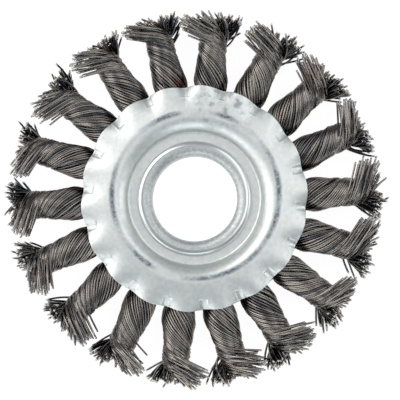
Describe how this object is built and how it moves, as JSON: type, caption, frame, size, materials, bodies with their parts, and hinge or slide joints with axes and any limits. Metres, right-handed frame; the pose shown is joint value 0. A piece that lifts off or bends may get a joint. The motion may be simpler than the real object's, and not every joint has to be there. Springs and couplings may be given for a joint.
{
  "type": "wire wheel brush",
  "caption": "Twisted-knot wire wheel brush with two dished, crimped face plates and a plain arbor bore.",
  "frame": {"origin": "centre of the arbor bore, half way through the wheel", "axes": "+Z along the bore, out of the front face; +X along knot_01, towards its tip"},
  "size_m": [0.0988, 0.0982, 0.013],
  "materials": {
    "plated_sheet": "bright zinc-plated pressed steel sheet, satin",
    "plated_bush": "zinc-plated steel, mottled where it was belled over",
    "plain_steel": "mill-finish steel plate with an oil film",
    "brush_wire": "hard-drawn carbon steel wire, brown-grey and slightly oily, dark between the strands"
  },
  "bodies": {
    "root": {"front_face_plate": "plated_sheet", "rear_face_plate": "plated_sheet", "arbor_bush": "plated_bush", "anchor_disc": "plain_steel", "knot_01": "brush_wire", "knot_02": "brush_wire", "knot_03": "brush_wire", "knot_04": "brush_wire", "knot_05": "brush_wire", "knot_06": "brush_wire", "knot_07": "brush_wire", "knot_08": "brush_wire", "knot_09": "brush_wire", "knot_10": "brush_wire", "knot_11": "brush_wire", "knot_12": "brush_wire", "knot_13": "brush_wire", "knot_14": "brush_wire", "knot_15": "brush_wire", "knot_16": "brush_wire", "knot_17": "brush_wire", "knot_18": "brush_wire"}
  },
  "joints": []
}
